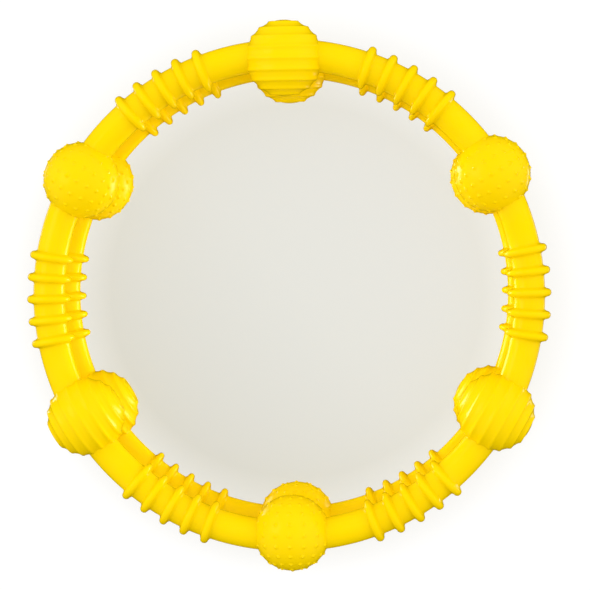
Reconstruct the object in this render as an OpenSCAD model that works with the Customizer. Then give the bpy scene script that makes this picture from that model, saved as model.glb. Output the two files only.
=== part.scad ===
// Twin-hoop juggling ring. Two ribbed hoops lie one above the other, the lower one slightly smaller.
// Each hoop is six hollow tube sections plugged end to end inside six textured balls. Every upper
// ball is pegged to the ball below it. The ring lies flat, its axis is +Z, and the lowest ball
// texture is at z = 0.

/* [Hoops] */
// Diameter of the upper tube centreline
hoop_d = 278; // [240:1:300]
// How much smaller the lower hoop is, on the radius
rear_inset = 4; // [0:0.1:5]
// Outside diameter of the smooth tube
tube_d = 18.2; // [14:0.1:22]
// Wall thickness of the tube
tube_wall = 2; // [1.2:0.1:3]
// Distance between the two hoops' mid-planes
hoop_gap = 40; // [36:0.5:42]
// Angle left between two tube ends inside a ball
end_gap_deg = 1; // [0.6:0.1:2]

/* [Ribs] */
// Ribs on each tube section
rib_count = 5; // [3:1:7]
// Angle from one rib to the next
rib_pitch_deg = 5; // [4:0.1:5.5]
// Diameter over the rib tips
rib_d = 25.6; // [21:0.1:30]
// Rib width where it meets the tube
rib_w = 5.2; // [3:0.1:6]
// Radius of the rounded rib tip
rib_tip_r = 1.9; // [1:0.1:2.2]

/* [Balls] */
// Diameter of the circle through the upper ball centres
ball_circle_d = 274.4; // [240:0.2:300]
// Diameter of a ball without its texture
ball_d = 44; // [40:0.5:48]
// Height of the ridges and nubs above the ball
texture_h = 0.8; // [0.3:0.1:1.2]
// Angle from one texture row to the next
row_pitch_deg = 17.1; // [16.5:0.1:17.5]
// Radius of a ridge crest
ridge_r = 1.1; // [0.6:0.05:1.4]
// Radius of a nub
nub_r = 1.1; // [0.6:0.05:1.4]
// Nubs around a ball in one full row
nubs_per_row = 16; // [8:4:20]

/* [Plugs and pegs] */
// Angle that a joining plug spans
plug_deg = 12; // [6:1:16]
// Diameter of the peg between two stacked balls
peg_d = 5.9; // [4:0.1:8]
// Length of the peg
peg_l = 13.4; // [8:0.2:13.6]
// Depth of the peg hole in each ball
peg_hole_depth = 7; // [5:0.1:7.5]
// Gap on the radius between parts that slide together
fit_gap = 0.05; // [0.02:0.01:0.15]

/* [Hidden] */
$fn = 96;
sides = 6;                                  // balls, and tube sections, on each hoop
sector = 360 / sides;
hoop_r = hoop_d / 2;
tube_r = tube_d / 2;
bore_r = tube_r - tube_wall;
rib_r = rib_d / 2;
ball_r = ball_d / 2;
rows_each_side = 4;                         // texture rows on each side of the one at the equator
nub_counts = [nubs_per_row, nubs_per_row, nubs_per_row, nubs_per_row, nubs_per_row / 2];
nub_margin = 0.2;                           // smallest gap from a nub to a bore or meeting face
bore_offset = 0.5;                          // tube centre to ball centre, where the tube leaves the ball
ball_ring_r = ball_circle_d / 2;
peg_ring_r = ball_ring_r - rear_inset / 2;  // pegs stand midway between the two circles of balls
base_z = hoop_gap / 2 + ball_r + texture_h;
front_z = base_z + hoop_gap / 2;
rear_z = base_z - hoop_gap / 2;
over = 1;                                   // how far a cutting shape runs past the surface it cuts

vinyl = [1, 0.86, 0.02];
vinyl_ball = [0.98, 0.8, 0.02];
nylon = [0.85, 0.85, 0.8];

// Angle of ball k, counted clockwise from +Y when seen from above.
function ball_angle(k) = 90 - (k - 1) * sector;

// A bent rod of radius r along a centreline of radius path_r, centred on +X and spanning deg degrees.
module bent_rod(path_r, r, deg) {
    rotate([0, 0, -deg / 2])
        rotate_extrude(angle = deg) translate([path_r, 0]) circle(r);
}

// Half of a rib's section: x is the distance from the tube's centreline, y is along the tube.
// The flanks run from inside the tube's wall to the rounded tip.
module rib_section() {
    tip_x = rib_r - rib_tip_r;
    root_x = tube_r - tube_wall / 2;
    root_w = rib_w / 2 + (rib_w / 2 - rib_tip_r) * (tube_r - root_x) / (tip_x - tube_r);
    polygon([[root_x, -root_w], [tip_x, -rib_tip_r], [tip_x, rib_tip_r], [root_x, root_w]]);
    translate([tip_x, 0]) circle(rib_tip_r);
}

// One round rib standing across the tube, path_r out along +X.
module rib(path_r) {
    translate([path_r, 0, 0]) rotate([90, 0, 0]) rotate_extrude() rib_section();
}

// One hollow tube section with its ribs, centred on +X. inset is how much smaller its hoop is.
module tube_section(inset) {
    path_r = hoop_r - inset;
    difference() {
        union() {
            bent_rod(path_r, tube_r, sector - end_gap_deg);
            for (i = [0 : rib_count - 1])
                rotate([0, 0, (i - (rib_count - 1) / 2) * rib_pitch_deg]) rib(path_r);
        }
        bent_rod(path_r, bore_r, sector);
    }
}

// Solid plug with a stop collar that keeps two tube ends apart, centred on +X.
module plug(inset) {
    bent_rod(hoop_r - inset, bore_r - fit_gap, plug_deg);
    bent_rod(hoop_r - inset, tube_r, end_gap_deg * 0.9);
}

// Ball surface with raised rings around the radial axis, centred on the origin, pole along +X.
module ridged_shape() {
    rotate([0, 90, 0]) rotate_extrude() {
        intersection() {
            union() {
                circle(ball_r);
                for (i = [-rows_each_side : rows_each_side])
                    rotate(i * row_pitch_deg) translate([ball_r + texture_h - ridge_r, 0]) circle(ridge_r);
            }
            translate([0, -ball_d]) square([ball_d, 2 * ball_d]);
        }
    }
}

// True where a nub at p clears the tube's bore and the flat meeting face.
function nub_clear(p, up) =
    norm([p[0] - bore_offset, p[2]]) > tube_r + fit_gap + nub_r + nub_margin
    && up * p[2] < hoop_gap / 2 - nub_r - nub_margin;

// Where the nub at angle a along a row meets the ball, pole along +X.
function nub_at(lat, a) = ball_r * [sin(lat), cos(lat) * sin(a), cos(lat) * cos(a)];

// Half of a nub's section: a short post with a round top. y is the height above the ball's centre.
module nub_section() {
    top_y = ball_r + texture_h - nub_r;
    translate([0, ball_r - over]) square([nub_r, top_y - ball_r + over]);
    intersection() {
        translate([0, top_y]) circle(nub_r);
        translate([0, top_y]) square(nub_r + over);
    }
}

// One nub at angle a along a row.
module nub(lat, a) {
    rotate([-a, 0, 0]) rotate([0, lat, 0]) rotate_extrude() nub_section();
}

// Ball surface with rows of round nubs around the radial axis and one nub on each pole, pole along +X.
module nubbed_shape(up) {
    rotate([90, 0, 0]) sphere(ball_r);
    for (i = [-rows_each_side : rows_each_side]) {
        lat = i * row_pitch_deg;
        for (a = [0 : 360 / nub_counts[abs(i)] : 359])
            if (nub_clear(nub_at(lat, a), up)) nub(lat, a);
    }
    nub(90, 0);
    nub(-90, 0);
}

// A ball at +X on a hoop whose mid-plane is z = 0. The other hoop is on the side given by up:
// -1 when it lies below, 1 when it lies above. The ball is cut flat at its meeting plane.
module ball(ridged, up, inset) {
    ring_r = ball_ring_r - inset;
    difference() {
        translate([ring_r, 0, 0])
            if (ridged) ridged_shape(); else nubbed_shape(up);
        bent_rod(hoop_r - inset, tube_r + fit_gap, sector);
        translate([ring_r, 0, up * (hoop_gap / 2 + ball_r)])
            cube([ball_d + 4 * over, ball_d + 4 * over, ball_d], center = true);
        translate([peg_ring_r, 0, up * hoop_gap / 2 - up * peg_hole_depth])
            rotate([up > 0 ? 0 : 180, 0, 0]) cylinder(h = peg_hole_depth + over, d = peg_d + 2 * fit_gap);
    }
}

// Balls alternate: odd places are ridged, even places are nubbed.
module front_ball(k) {
    translate([0, 0, front_z]) rotate([0, 0, ball_angle(k)]) ball(k % 2 == 1, -1, 0);
}
module rear_ball(k) {
    translate([0, 0, rear_z]) rotate([0, 0, ball_angle(k)]) ball(k % 2 == 1, 1, rear_inset);
}
module front_tube(k) {
    translate([0, 0, front_z]) rotate([0, 0, ball_angle(k) - sector / 2]) tube_section(0);
}
module rear_tube(k) {
    translate([0, 0, rear_z]) rotate([0, 0, ball_angle(k) - sector / 2]) tube_section(rear_inset);
}
module front_plug(k) {
    translate([0, 0, front_z]) rotate([0, 0, ball_angle(k)]) plug(0);
}
module rear_plug(k) {
    translate([0, 0, rear_z]) rotate([0, 0, ball_angle(k)]) plug(rear_inset);
}

// One peg inside each stacked pair of balls.
module joining_pegs() {
    for (k = [1 : sides])
        rotate([0, 0, ball_angle(k)])
            translate([peg_ring_r, 0, base_z - peg_l / 2]) cylinder(h = peg_l, d = peg_d);
}

for (k = [1 : sides]) {
    color(vinyl) front_tube(k);
    color(vinyl) rear_tube(k);
    color(vinyl_ball) front_ball(k);
    color(vinyl_ball) rear_ball(k);
    color(nylon) front_plug(k);
    color(nylon) rear_plug(k);
}
color(nylon) joining_pegs();
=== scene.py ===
import math
import bpy
from mathutils import Matrix, Vector


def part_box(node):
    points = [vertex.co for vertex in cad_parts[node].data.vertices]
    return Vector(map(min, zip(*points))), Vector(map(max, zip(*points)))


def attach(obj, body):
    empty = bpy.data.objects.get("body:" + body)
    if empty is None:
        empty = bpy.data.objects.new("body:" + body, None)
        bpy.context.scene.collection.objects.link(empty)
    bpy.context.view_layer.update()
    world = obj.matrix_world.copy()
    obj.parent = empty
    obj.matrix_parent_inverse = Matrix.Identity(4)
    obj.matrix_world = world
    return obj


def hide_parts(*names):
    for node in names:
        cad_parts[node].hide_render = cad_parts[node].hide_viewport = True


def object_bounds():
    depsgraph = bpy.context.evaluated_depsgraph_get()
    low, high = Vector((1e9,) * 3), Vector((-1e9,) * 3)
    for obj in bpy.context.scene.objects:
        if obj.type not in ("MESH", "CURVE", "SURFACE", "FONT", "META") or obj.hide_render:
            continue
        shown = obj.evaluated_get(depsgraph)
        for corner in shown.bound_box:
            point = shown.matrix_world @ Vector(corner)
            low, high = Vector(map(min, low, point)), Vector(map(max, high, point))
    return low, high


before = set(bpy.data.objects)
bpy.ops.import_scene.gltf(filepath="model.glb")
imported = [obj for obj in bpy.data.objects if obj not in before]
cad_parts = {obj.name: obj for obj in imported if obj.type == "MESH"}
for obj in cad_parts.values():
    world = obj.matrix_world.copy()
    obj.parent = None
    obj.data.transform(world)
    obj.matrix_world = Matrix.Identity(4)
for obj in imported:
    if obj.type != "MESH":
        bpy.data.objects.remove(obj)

CAD_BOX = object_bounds()

# ---------------------------------------------------------------- sizes, metres and radians
SECTORS = 6
END_GAP = math.radians(0.5)     # from a tube's end to the middle of its ball
TUBE_HALF = math.pi / SECTORS - END_GAP
TUBE_WALL = 0.002

RIBS = 5
RIB_PITCH = math.radians(5)
RIB_W = 0.0052                  # width where a rib meets the tube
RIB_TIP_R = 0.0021
RIB_FILLET = 0.0007

BALL_R = 0.022
ROW_PITCH = 17.1                # degrees between texture rows, counted from the equator
ROWS = 4                        # rows on each side of the equator
RIDGE_H = 0.0008
RIDGE_SPREAD = 3.4              # degrees from a ridge's crest to where it has fallen to a third

NUB_COUNTS = (16, 16, 16, 16, 8)    # nubs in a row, from the equator to the row next to the pole
NUB_R = 0.0011
NUB_CLEAR = 0.0002              # kept between a nub and the flat face where two balls meet
# Half of a nub from its foot to near its top: (distance from its axis, height above the ball).
NUB_PROFILE = (
    (0.00175, -0.00006),
    (0.00136, 0.00005),
    (0.00110, 0.00016),
    (0.00086, 0.00032),
    (0.00060, 0.00051),
    (0.00030, 0.00069),
)
NUB_TOP = 0.00077


def centre(node, axis):
    low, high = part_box(node)
    return (low[axis] + high[axis]) / 2


def extent(node, axis):
    low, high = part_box(node)
    return high[axis] - low[axis]


HOOPS = {"front": centre("front_plug_1", 2), "rear": centre("rear_plug_1", 2)}
MID_Z = (HOOPS["front"] + HOOPS["rear"]) / 2
HALF_GAP = HOOPS["front"] - MID_Z
TUBE_R = extent("front_plug_1", 2) / 2
RIB_R = extent("front_tube_2", 2) / 2
HOOP_R = {side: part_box(f"{side}_tube_2")[1][0] - RIB_R for side in HOOPS}
BALL_RING_R = {side: centre(f"{side}_ball_1", 1) for side in HOOPS}


def ball_angle(k):
    """Angle of ball k about the ring's axis, from +X. Ball 1 is at +Y, and they run clockwise."""
    return math.radians(90 - (k - 1) * 360 / SECTORS)


WHITE = (1, 1, 1, 1)


# ---------------------------------------------------------------- node helpers
class Nodes:
    """A material's node tree, with short calls to add and join nodes."""

    def __init__(self, name):
        self.mat = bpy.data.materials.new(name)
        self.mat.use_nodes = True
        self.tree = self.mat.node_tree
        self.bsdf = self.tree.nodes["Principled BSDF"]

    def add(self, kind, **sockets):
        n = self.tree.nodes.new(kind)
        for key, value in sockets.items():
            self.put(n, key.replace("_", " "), value)
        return n

    def put(self, n, key, value):
        socket = n.inputs[key]
        if isinstance(value, bpy.types.NodeSocket):
            self.tree.links.new(value, socket)
        else:
            socket.default_value = value

    def position(self):
        return self.add("ShaderNodeNewGeometry").outputs["Position"]

    def noise(self, where, scale, detail=2.0, rough=0.5):
        """Noise from 0 to 1, with scale in waves per metre."""
        n = self.add("ShaderNodeTexNoise", Vector=where, Scale=scale, Detail=detail, Roughness=rough)
        return n.outputs["Fac"]

    def vector_maths(self, kind, a, b=None):
        n = self.tree.nodes.new("ShaderNodeVectorMath")
        n.operation = kind
        self.put(n, 0, a)
        if b is not None:
            self.put(n, 1, b)
        return n.outputs["Value"]

    def ramp(self, fac, stops):
        n = self.add("ShaderNodeValToRGB", Fac=fac)
        while len(n.color_ramp.elements) < len(stops):
            n.color_ramp.elements.new(0.5)
        for e, (at, colour) in zip(n.color_ramp.elements, stops):
            e.position = at
            e.color = (*colour, 1)
        return n.outputs["Color"]

    def span(self, fac, low, high, from_low=0.3, from_high=0.7):
        n = self.tree.nodes.new("ShaderNodeMapRange")
        self.put(n, "Value", fac)
        self.put(n, "From Min", from_low)
        self.put(n, "From Max", from_high)
        self.put(n, "To Min", low)
        self.put(n, "To Max", high)
        return n.outputs["Result"]

    def bump(self, height, distance, strength, normal=None):
        n = self.add("ShaderNodeBump", Height=height, Distance=distance, Strength=strength)
        if normal is not None:
            self.put(n, "Normal", normal)
        return n.outputs["Normal"]


# ---------------------------------------------------------------- materials
VINYL_IOR = 1.5
VINYL_SHINE = 0.2                       # low, so that the outlines stay bright
VINYL_SHINE_TINT = (1.0, 0.88, 0.35, 1)
GRAIN = 0.5


def vinyl(name, light, deep, rough):
    """Glossy soft vinyl: slow colour drift, fine moulded grain, faint rub marks."""
    m = Nodes(name)
    where = m.position()
    drift = m.noise(where, 18, 3)
    m.put(m.bsdf, "Base Color", m.ramp(drift, ((0.3, deep), (0.7, light))))
    rubs = m.noise(where, 70, 4, 0.6)
    m.put(m.bsdf, "Roughness", m.span(rubs, rough - 0.05, rough + 0.07))
    waves = m.bump(m.noise(where, 140), 0.00012, GRAIN)
    m.put(m.bsdf, "Normal", m.bump(m.noise(where, 1500), 0.000015, GRAIN, waves))
    m.put(m.bsdf, "IOR", VINYL_IOR)
    m.put(m.bsdf, "Specular IOR Level", VINYL_SHINE)
    m.put(m.bsdf, "Specular Tint", VINYL_SHINE_TINT)
    return m.mat


def nylon(name):
    """Pale dull nylon with a fine grain, for the hidden plugs and pegs."""
    m = Nodes(name)
    where = m.position()
    drift = m.noise(where, 60, 3)
    m.put(m.bsdf, "Base Color", m.ramp(drift, ((0.3, (0.60, 0.60, 0.55)), (0.7, (0.70, 0.70, 0.66)))))
    m.put(m.bsdf, "Roughness", m.span(m.noise(where, 400, 3), 0.42, 0.58))
    m.put(m.bsdf, "Normal", m.bump(m.noise(where, 900), 0.00003, 0.6))
    return m.mat


TUBE_MAT = vinyl("tube_vinyl", (0.92, 0.640, 0.0005), (0.90, 0.616, 0.0005), 0.15)
RIDGED_MAT = vinyl("ridged_ball_vinyl", (0.92, 0.638, 0.0005), (0.90, 0.614, 0.0005), 0.17)
NUBBED_MAT = vinyl("nubbed_ball_vinyl", (0.92, 0.638, 0.0005), (0.90, 0.614, 0.0005), 0.19)
PLUG_MAT = nylon("plug_nylon")
PEG_MAT = nylon("peg_nylon")


# ---------------------------------------------------------------- mesh helpers
def make_mesh(name, verts, faces, mat):
    mesh = bpy.data.meshes.new(name)
    mesh.from_pydata(verts, [], faces)
    mesh.validate()
    mesh.polygons.foreach_set("use_smooth", [True] * len(mesh.polygons))
    mesh.materials.append(mat)
    mesh.update()
    return mesh


def lathe(rings, around, start=0):
    """Faces between consecutive closed rings of the same number of points."""
    faces = []
    for i in range(rings - 1):
        a = start + i * around
        b = a + around
        for j in range(around):
            k = (j + 1) % around
            faces.append((a + j, a + k, b + k, b + j))
    return faces


# ---------------------------------------------------------------- ribbed tube
TUBE_AROUND = 56                # points round the tube
PLAIN_STEP = math.radians(1.6)  # longest step along a plain stretch
BORE_STEPS = 24
TIP_STEPS = 6
TIP_SWEEP = 0.7                 # how much of the flank's lean the rounded tip stops short by
FLANK_AT = 0.45                 # how far up the flank its one middle point is
FILLET_STEPS = 4


def rib_profile():
    """Half a rib, from its middle down to the tube: (distance along the tube, distance from its axis)."""
    tip = RIB_R - RIB_TIP_R
    lean = math.atan2(RIB_W / 2 - RIB_TIP_R, tip - TUBE_R)
    sweep = math.pi / 2 - lean * TIP_SWEEP
    out = []
    for i in range(TIP_STEPS + 1):
        a = sweep * i / TIP_STEPS
        out.append((RIB_TIP_R * math.sin(a), tip + RIB_TIP_R * math.cos(a)))
    s, r = out[-1]
    out.append((RIB_W / 2 - (RIB_W / 2 - s) * FLANK_AT, TUBE_R + (r - TUBE_R) * FLANK_AT))
    foot_s = RIB_W / 2 + RIB_FILLET
    foot_r = TUBE_R + RIB_FILLET
    for i in range(FILLET_STEPS + 1):
        a = math.pi / 2 * i / FILLET_STEPS
        out.append((foot_s - RIB_FILLET * math.cos(a), foot_r - RIB_FILLET * math.sin(a)))
    return out


def tube_stations(path_r):
    """Where the tube's outer skin has its rings: (angle along the hoop, radius), in order."""
    side = [(s / path_r, r) for s, r in rib_profile()]
    foot = side[-1][0]
    ribs = [(i - (RIBS - 1) / 2) * RIB_PITCH for i in range(RIBS)]
    out = []
    for c in ribs:
        out += [(c - s, r) for s, r in side[1:]]
        out += [(c + s, r) for s, r in side]
    for a, b in zip(ribs, ribs[1:]):
        gap = b - a - 2 * foot
        out += [(a + foot + gap * t, TUBE_R) for t in (1 / 3, 2 / 3)]
    end = ribs[-1] + foot
    count = math.ceil((TUBE_HALF - end) / PLAIN_STEP)
    for i in range(1, count + 1):
        at = end + (TUBE_HALF - end) * i / count
        out += [(at, TUBE_R), (-at, TUBE_R)]
    return sorted(out)


def tube_ring(path_r, angle, r):
    """The points round the tube at this angle along the hoop, at this distance from the tube's axis."""
    out = []
    for j in range(TUBE_AROUND):
        t = 2 * math.pi * j / TUBE_AROUND
        flat = path_r + r * math.cos(t)
        out.append((flat * math.cos(angle), flat * math.sin(angle), r * math.sin(t)))
    return out


def tube_mesh(path_r):
    """One tube section of a hoop of radius path_r, centred on +X, ribs and bore included."""
    stations = tube_stations(path_r)
    verts = []
    for angle, r in stations:
        verts += tube_ring(path_r, angle, r)
    faces = lathe(len(stations), TUBE_AROUND)
    bore = len(verts)
    for i in range(BORE_STEPS + 1):
        verts += tube_ring(path_r, -TUBE_HALF + 2 * TUBE_HALF * i / BORE_STEPS, TUBE_R - TUBE_WALL)
    faces += [f[::-1] for f in lathe(BORE_STEPS + 1, TUBE_AROUND, bore)]
    last = bore - TUBE_AROUND
    bore_last = bore + BORE_STEPS * TUBE_AROUND
    for j in range(TUBE_AROUND):
        k = (j + 1) % TUBE_AROUND
        faces.append((k, j, bore + j, bore + k))
        faces.append((last + j, last + k, bore_last + k, bore_last + j))
    return make_mesh("tube_section", verts, faces, TUBE_MAT)


# ---------------------------------------------------------------- balls
RIDGED_AROUND = 80
RIDGE_STEPS = (0, 0.8, 1.6, 2.4, 3.3, 4.4, 5.8, 7.2)    # degrees from a ridge's crest
CAP_LATS = {78, 81, 84, 87}                             # degrees, between the last row and the pole
NUBBED_AROUND = 64
NUBBED_BANDS = 40
NUBBED_END = 87                                         # degrees, the last ring before the pole
NUB_AROUND = 12


def on_face(p):
    """p kept on the ball's side of the flat face where two balls meet."""
    return (p[0], p[1], max(p[2], -HALF_GAP))


def around_pole(radius, lat, lon):
    """A point at this distance from the ball's centre. The pole is along +X, and longitude 0 is +Z."""
    c = math.cos(lat)
    return (radius * math.sin(lat), radius * c * math.sin(lon), radius * c * math.cos(lon))


def ball_skin(lats, around, height):
    """A closed skin from pole to pole through these latitudes, in degrees."""
    verts = [around_pole(BALL_R + height(-90), -math.pi / 2, 0)]
    for lat in lats:
        r = BALL_R + height(lat)
        verts += [around_pole(r, math.radians(lat), 2 * math.pi * j / around) for j in range(around)]
    verts.append(around_pole(BALL_R + height(90), math.pi / 2, 0))
    faces = lathe(len(lats), around, 1)
    last = len(verts) - 1
    for j in range(around):
        k = (j + 1) % around
        faces.append((0, 1 + k, 1 + j))
        faces.append((last, last - around + j, last - around + k))
    return [on_face(v) for v in verts], faces


def ridge_height(lat):
    """Height of the ridged skin above the plain ball: round crests, with a smooth cap on each pole."""
    away = abs(lat) - ROW_PITCH * min(round(abs(lat) / ROW_PITCH), ROWS)
    return RIDGE_H * math.exp(-(away / RIDGE_SPREAD) ** 2)


def ridged_mesh():
    half = {(row + 0.5) * ROW_PITCH for row in range(ROWS)} | CAP_LATS
    for row in range(ROWS + 1):
        half |= {row * ROW_PITCH + s for s in RIDGE_STEPS}
        half |= {row * ROW_PITCH - s for s in RIDGE_STEPS}
    lats = sorted({round(v, 3) for v in half} | {round(-v, 3) for v in half})
    verts, faces = ball_skin(lats, RIDGED_AROUND, ridge_height)
    return make_mesh("ridged_ball", verts, faces, RIDGED_MAT)


def nub_places():
    """Latitude and longitude of every nub, with one on each pole."""
    out = [(math.pi / 2, 0), (-math.pi / 2, 0)]
    for row in range(-ROWS, ROWS + 1):
        n = NUB_COUNTS[abs(row)]
        out += [(math.radians(row * ROW_PITCH), 2 * math.pi * i / n) for i in range(n)]
    return out


def nub(mid, start):
    """Points and faces of one nub on the ball in direction mid, numbered from start."""
    u = Vector((0, 0, 1)).cross(mid)
    u = (u if u.length > 0.01 else Vector((1, 0, 0)).cross(mid)).normalized()
    v = mid.cross(u)
    verts = []
    for r, h in NUB_PROFILE:
        for j in range(NUB_AROUND):
            t = 2 * math.pi * j / NUB_AROUND
            verts.append(tuple(mid * (BALL_R + h) + (u * math.cos(t) + v * math.sin(t)) * r))
    verts.append(tuple(mid * (BALL_R + NUB_TOP)))
    faces = lathe(len(NUB_PROFILE), NUB_AROUND, start)
    top = start + len(verts) - 1
    for j in range(NUB_AROUND):
        faces.append((top - NUB_AROUND + j, top - NUB_AROUND + (j + 1) % NUB_AROUND, top))
    return verts, faces


def nubbed_mesh():
    lats = [-NUBBED_END + 2 * NUBBED_END * i / NUBBED_BANDS for i in range(NUBBED_BANDS + 1)]
    verts, faces = ball_skin(lats, NUBBED_AROUND, lambda lat: 0)
    for lat, lon in nub_places():
        mid = Vector(around_pole(1, lat, lon))
        if mid.z * BALL_R >= -HALF_GAP + NUB_R + NUB_CLEAR:
            more_verts, more_faces = nub(mid, len(verts))
            verts += more_verts
            faces += more_faces
    return make_mesh("nubbed_ball", verts, faces, NUBBED_MAT)


# ---------------------------------------------------------------- pieces
def place(shape, name, node, angle, z, out=0.0, flip=False):
    """A piece made from a copy of shape, which is turned over if flip is set, moved out from the ring's
    axis in the direction of angle, and set at height z."""
    mesh = shape.copy()
    over = Matrix.Rotation(math.pi if flip else 0, 4, "X")
    where = Matrix.Translation((out * math.cos(angle), out * math.sin(angle), z))
    mesh.transform(where @ Matrix.Rotation(angle, 4, "Z") @ over)
    piece = bpy.data.objects.new(name, mesh)
    bpy.context.scene.collection.objects.link(piece)
    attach(piece, "root")
    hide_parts(node)


BALLS = {"ridged": ridged_mesh(), "nubbed": nubbed_mesh()}
for side, z in HOOPS.items():
    tube = tube_mesh(HOOP_R[side])
    for k in range(1, SECTORS + 1):
        angle = ball_angle(k)
        after = angle - math.pi / SECTORS
        place(tube, f"{side}_ribbed_tube_{k}", f"{side}_tube_{k}", after, z)
        kind = "ridged" if k % 2 == 1 else "nubbed"
        place(BALLS[kind], f"{side}_{kind}_ball_{k}", f"{side}_ball_{k}",
              angle, z, BALL_RING_R[side], flip=side == "rear")

# The plugs and pegs are carried over from the frame, and only get a material.
for name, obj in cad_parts.items():
    if "plug" in name or name == "joining_pegs":
        mat = PLUG_MAT if "plug" in name else PEG_MAT
        if not obj.material_slots:
            obj.data.materials.append(mat)
        for s in obj.material_slots:
            s.material = mat

# ---------------------------------------------------------------- floor
FLOOR_HALF = 8.0
FLOOR_BASE = (0.12, 0.12, 0.12, 1)
FLOOR_GLOW = 0.90
PAINTED_SHADE_R = (0.11, 0.17)              # the painted shade inside the ring gives way to white glow between these radii
PAINTED_SHADE_WAY = (0.40, 0.35, 0.0)       # the painted shade gets paler along this way, so it is darker towards -X and -Y
PAINTED_SHADE_SPAN = 0.06
# Painted shade tones for the floor's glow inside the ring, from its darker side to its paler side.
PAINTED_SHADE_TONES = (
    (0.0, (0.644, 0.644, 0.588)),
    (0.5, (0.726, 0.726, 0.674)),
    (1.0, (0.758, 0.758, 0.715)),
)


def floor_glow_painted_shade():
    m = Nodes("floor_glow_painted_shade")
    where = m.position()
    # Painted shade: inside the ring the floor's glow is dimmed, darker towards -X and -Y, and it fades to
    # plain white glow outside.
    along = m.vector_maths("DOT_PRODUCT", where, PAINTED_SHADE_WAY)
    inside = m.ramp(m.span(along, 0, 1, -PAINTED_SHADE_SPAN, PAINTED_SHADE_SPAN), PAINTED_SHADE_TONES)
    edge = m.span(m.vector_maths("LENGTH", where), 0, 1, *PAINTED_SHADE_R)
    tone = m.add("ShaderNodeMixRGB", Fac=edge, Color1=inside, Color2=WHITE).outputs["Color"]
    m.put(m.bsdf, "Base Color", FLOOR_BASE)
    m.put(m.bsdf, "Emission Color", tone)
    m.put(m.bsdf, "Emission Strength", FLOOR_GLOW)
    m.put(m.bsdf, "Roughness", 0.8)
    m.put(m.bsdf, "Specular IOR Level", 0.1)
    return m.mat


def floor():
    """A pale glowing floor, with painted shade inside the ring, that takes the ring's shadow and lets the
    lamps below it shine through.
    """
    h = FLOOR_HALF
    mesh = bpy.data.meshes.new("floor")
    mesh.from_pydata([(-h, -h, 0), (h, -h, 0), (h, h, 0), (-h, h, 0)], [], [(0, 1, 2, 3)])
    mesh.materials.append(floor_glow_painted_shade())
    obj = bpy.data.objects.new("floor", mesh)
    obj.location = (0, 0, CAD_BOX[0][2])
    obj.visible_shadow = False
    obj.visible_glossy = False
    obj.visible_diffuse = False
    bpy.context.scene.collection.objects.link(obj)


floor()

# ---------------------------------------------------------------- lamps
MIDDLE = (0, 0, MID_Z)
FAR_LAMP = 1.2                      # distance of the lamps that stand well away from the ring


def area(name, at, look, size, power, spread=180, glossy=True, diffuse=True):
    """A rectangular lamp at a place, aimed at another, with its spread in degrees."""
    light = bpy.data.lights.new(name, "AREA")
    light.shape = "RECTANGLE"
    light.size, light.size_y = size
    light.energy = power
    light.spread = math.radians(spread)
    obj = bpy.data.objects.new(name, light)
    obj.location = at
    obj.rotation_euler = (Vector(look) - Vector(at)).to_track_quat("-Z", "Y").to_euler()
    obj.visible_glossy = glossy
    obj.visible_diffuse = diffuse
    bpy.context.scene.collection.objects.link(obj)


def round_about(clock, elevation):
    """A place well away from the ring in this direction. Clock angles run clockwise from +Y."""
    c = math.radians(clock)
    e = math.radians(elevation)
    flat = FAR_LAMP * math.cos(e)
    return (flat * math.sin(c), flat * math.cos(c), MID_Z + FAR_LAMP * math.sin(e))


# A small lamp sits close behind the ring on each side. Each is split in two: one lamp makes the
# highlights, and the other fills the ring's inner sides.
INNER_SIZE = (0.19, 0.13)
for side, at in (("right", (0.20, -0.01, -0.10)), ("left", (-0.20, 0.04, -0.09))):
    area(f"inner_{side}", at, MIDDLE, INNER_SIZE, 0.040, spread=50, diffuse=False)
    across = (-0.65 * at[0], 0, MID_Z)
    area(f"fill_{side}", at, across, INNER_SIZE, 0.085, spread=62, glossy=False)

# These two stand for light off the table, in the ring's middle and from the -Y side.
area("bounce", (0.0, -0.06, -0.09), (0, 0.06, MID_Z), (0.16, 0.16), 0.11, glossy=False)
area("table_glow", round_about(180, -50), MIDDLE, (0.8, 0.5), 2.2, glossy=False)
# This one makes highlights only.
area("front_left", round_about(284, 42), MIDDLE, (0.6, 0.6), 1.6, diffuse=False)

# ---------------------------------------------------------------- soft light from all round
# The light from direction (x, y, z) is LIGHT_ALL + LIGHT_X2 * x * x + LIGHT_Y * y + LIGHT_Z * z.
LIGHT_ALL = 0.49
LIGHT_X2 = 1.16
LIGHT_Y = 0.32
LIGHT_Z = 0.72


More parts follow.
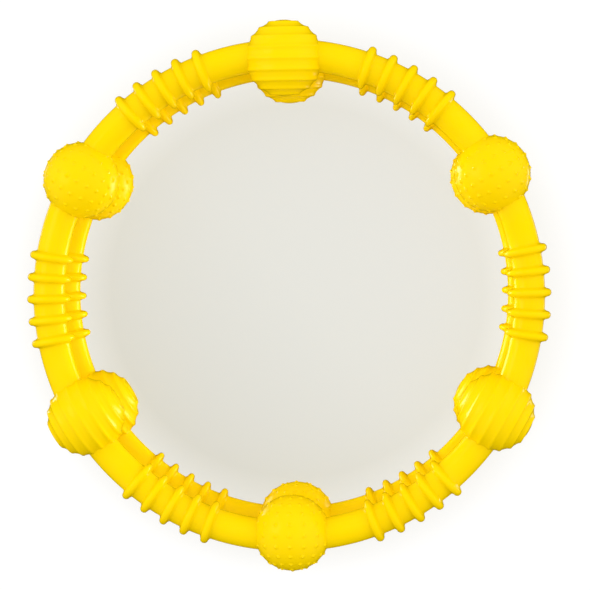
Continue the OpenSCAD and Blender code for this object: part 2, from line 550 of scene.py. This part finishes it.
def studio():
    """Soft light from all round: brightest from above and the two sides, dimmest from behind and -Y.
    The backdrop itself shows plain white."""
    w = bpy.data.worlds.new("studio")
    bpy.context.scene.world = w
    w.use_nodes = True
    tree = w.node_tree

    def maths(kind, a, b):
        n = tree.nodes.new("ShaderNodeMath")
        n.operation = kind
        for socket, value in zip(n.inputs, (a, b)):
            if isinstance(value, bpy.types.NodeSocket):
                tree.links.new(value, socket)
            else:
                socket.default_value = value
        return n.outputs["Value"]

    way = tree.nodes.new("ShaderNodeSeparateXYZ")
    tree.links.new(tree.nodes.new("ShaderNodeTexCoord").outputs["Generated"], way.inputs[0])
    x, y, z = (way.outputs[key] for key in "XYZ")
    total = maths("MULTIPLY", maths("MULTIPLY", x, x), LIGHT_X2)
    total = maths("ADD", total, maths("MULTIPLY", y, LIGHT_Y))
    total = maths("ADD", total, maths("MULTIPLY", z, LIGHT_Z))
    total = maths("MAXIMUM", maths("ADD", total, LIGHT_ALL), 0.0)
    seen = tree.nodes.new("ShaderNodeLightPath").outputs["Is Camera Ray"]
    total = maths("ADD", maths("MULTIPLY", total, maths("SUBTRACT", 1.0, seen)), seen)
    back = tree.nodes["Background"]
    back.inputs["Color"].default_value = WHITE
    tree.links.new(total, back.inputs["Strength"])
    w.cycles_visibility.glossy = False


studio()

# ---------------------------------------------------------------- camera
CAMERA_LENS = 251.8                             # mm, on a sensor 36 mm wide
CAMERA_AT = (0.1828, 0.1002, HOOPS["front"] + 2.374)
CAMERA_TURN = (-2.4730, 4.2665, -0.9700)        # degrees about X, Y and Z

cam_data = bpy.data.cameras.new("camera")
cam_data.sensor_width = 36
cam_data.lens = CAMERA_LENS
cam_data.clip_start = 0.01
cam_data.clip_end = 20
cam = bpy.data.objects.new("camera", cam_data)
cam.location = CAMERA_AT
cam.rotation_euler = [math.radians(v) for v in CAMERA_TURN]

scene = bpy.context.scene
scene.collection.objects.link(cam)
scene.camera = cam
scene.view_settings.view_transform = "Standard"
scene.view_settings.look = "None"
